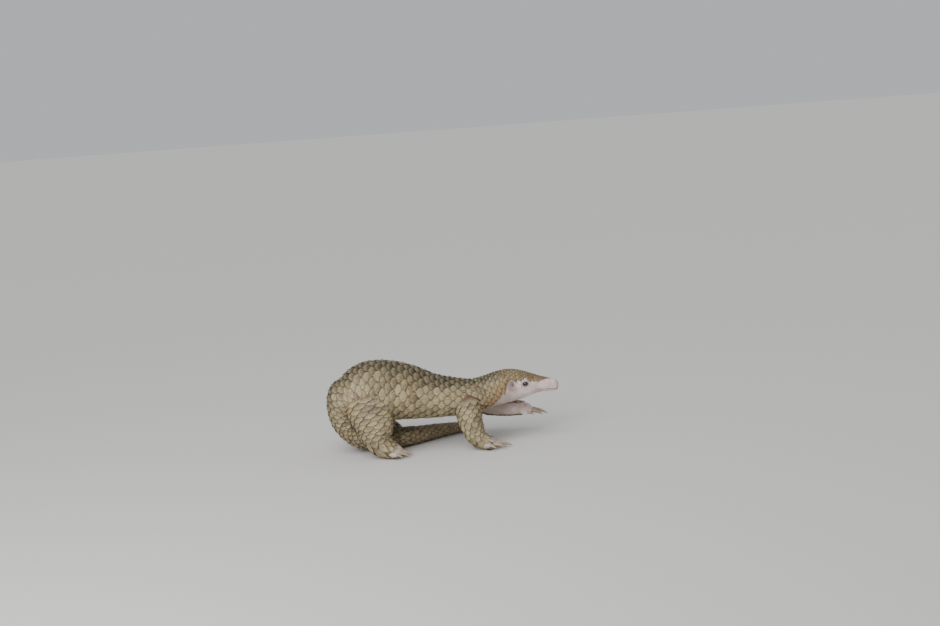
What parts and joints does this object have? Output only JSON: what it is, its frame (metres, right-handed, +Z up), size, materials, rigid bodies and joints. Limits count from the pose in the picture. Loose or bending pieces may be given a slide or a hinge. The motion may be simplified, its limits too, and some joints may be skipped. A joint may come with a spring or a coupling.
{
  "type": "pangolin model",
  "caption": "life-size still model of a Sunda pangolin crouched on the floor, back arched, tail tucked under its belly, one forefoot reaching forward",
  "frame": {"origin": "on the floor, under the middle of the model's bounding box", "axes": "+X forwards to the snout and along the longest side, +Y to the animal's left, +Z up"},
  "size_m": [0.386, 0.1748, 0.151],
  "materials": {
    "scale": "dry horn scales, khaki to olive brown, worn pale at the edges",
    "skin": "bare pale pink skin with short sparse hair, matt",
    "claw": "pale horn, worn smooth, darker at the root",
    "eye": "wet dark eye"
  },
  "bodies": {
    "root": {"head": "skin", "ear_right": "skin", "ear_left": "skin", "eye_right": "eye", "eye_left": "eye", "neck": "scale", "torso": "scale", "tail_base": "scale", "tail_middle": "scale", "tail_tip": "scale", "foreleg_right": "scale", "foreleg_left": "scale", "hindleg_right": "scale", "hindleg_left": "scale", "fore_claw_right_1": "claw", "fore_claw_right_2": "claw", "fore_claw_right_3": "claw", "fore_claw_right_4": "claw", "fore_claw_right_5": "claw", "fore_claw_left_1": "claw", "fore_claw_left_2": "claw", "fore_claw_left_3": "claw", "fore_claw_left_4": "claw", "fore_claw_left_5": "claw", "hind_claw_right_1": "claw", "hind_claw_right_2": "claw", "hind_claw_right_3": "claw", "hind_claw_right_4": "claw", "hind_claw_right_5": "claw", "hind_claw_left_1": "claw", "hind_claw_left_2": "claw", "hind_claw_left_3": "claw", "hind_claw_left_4": "claw", "hind_claw_left_5": "claw"}
  },
  "joints": []
}
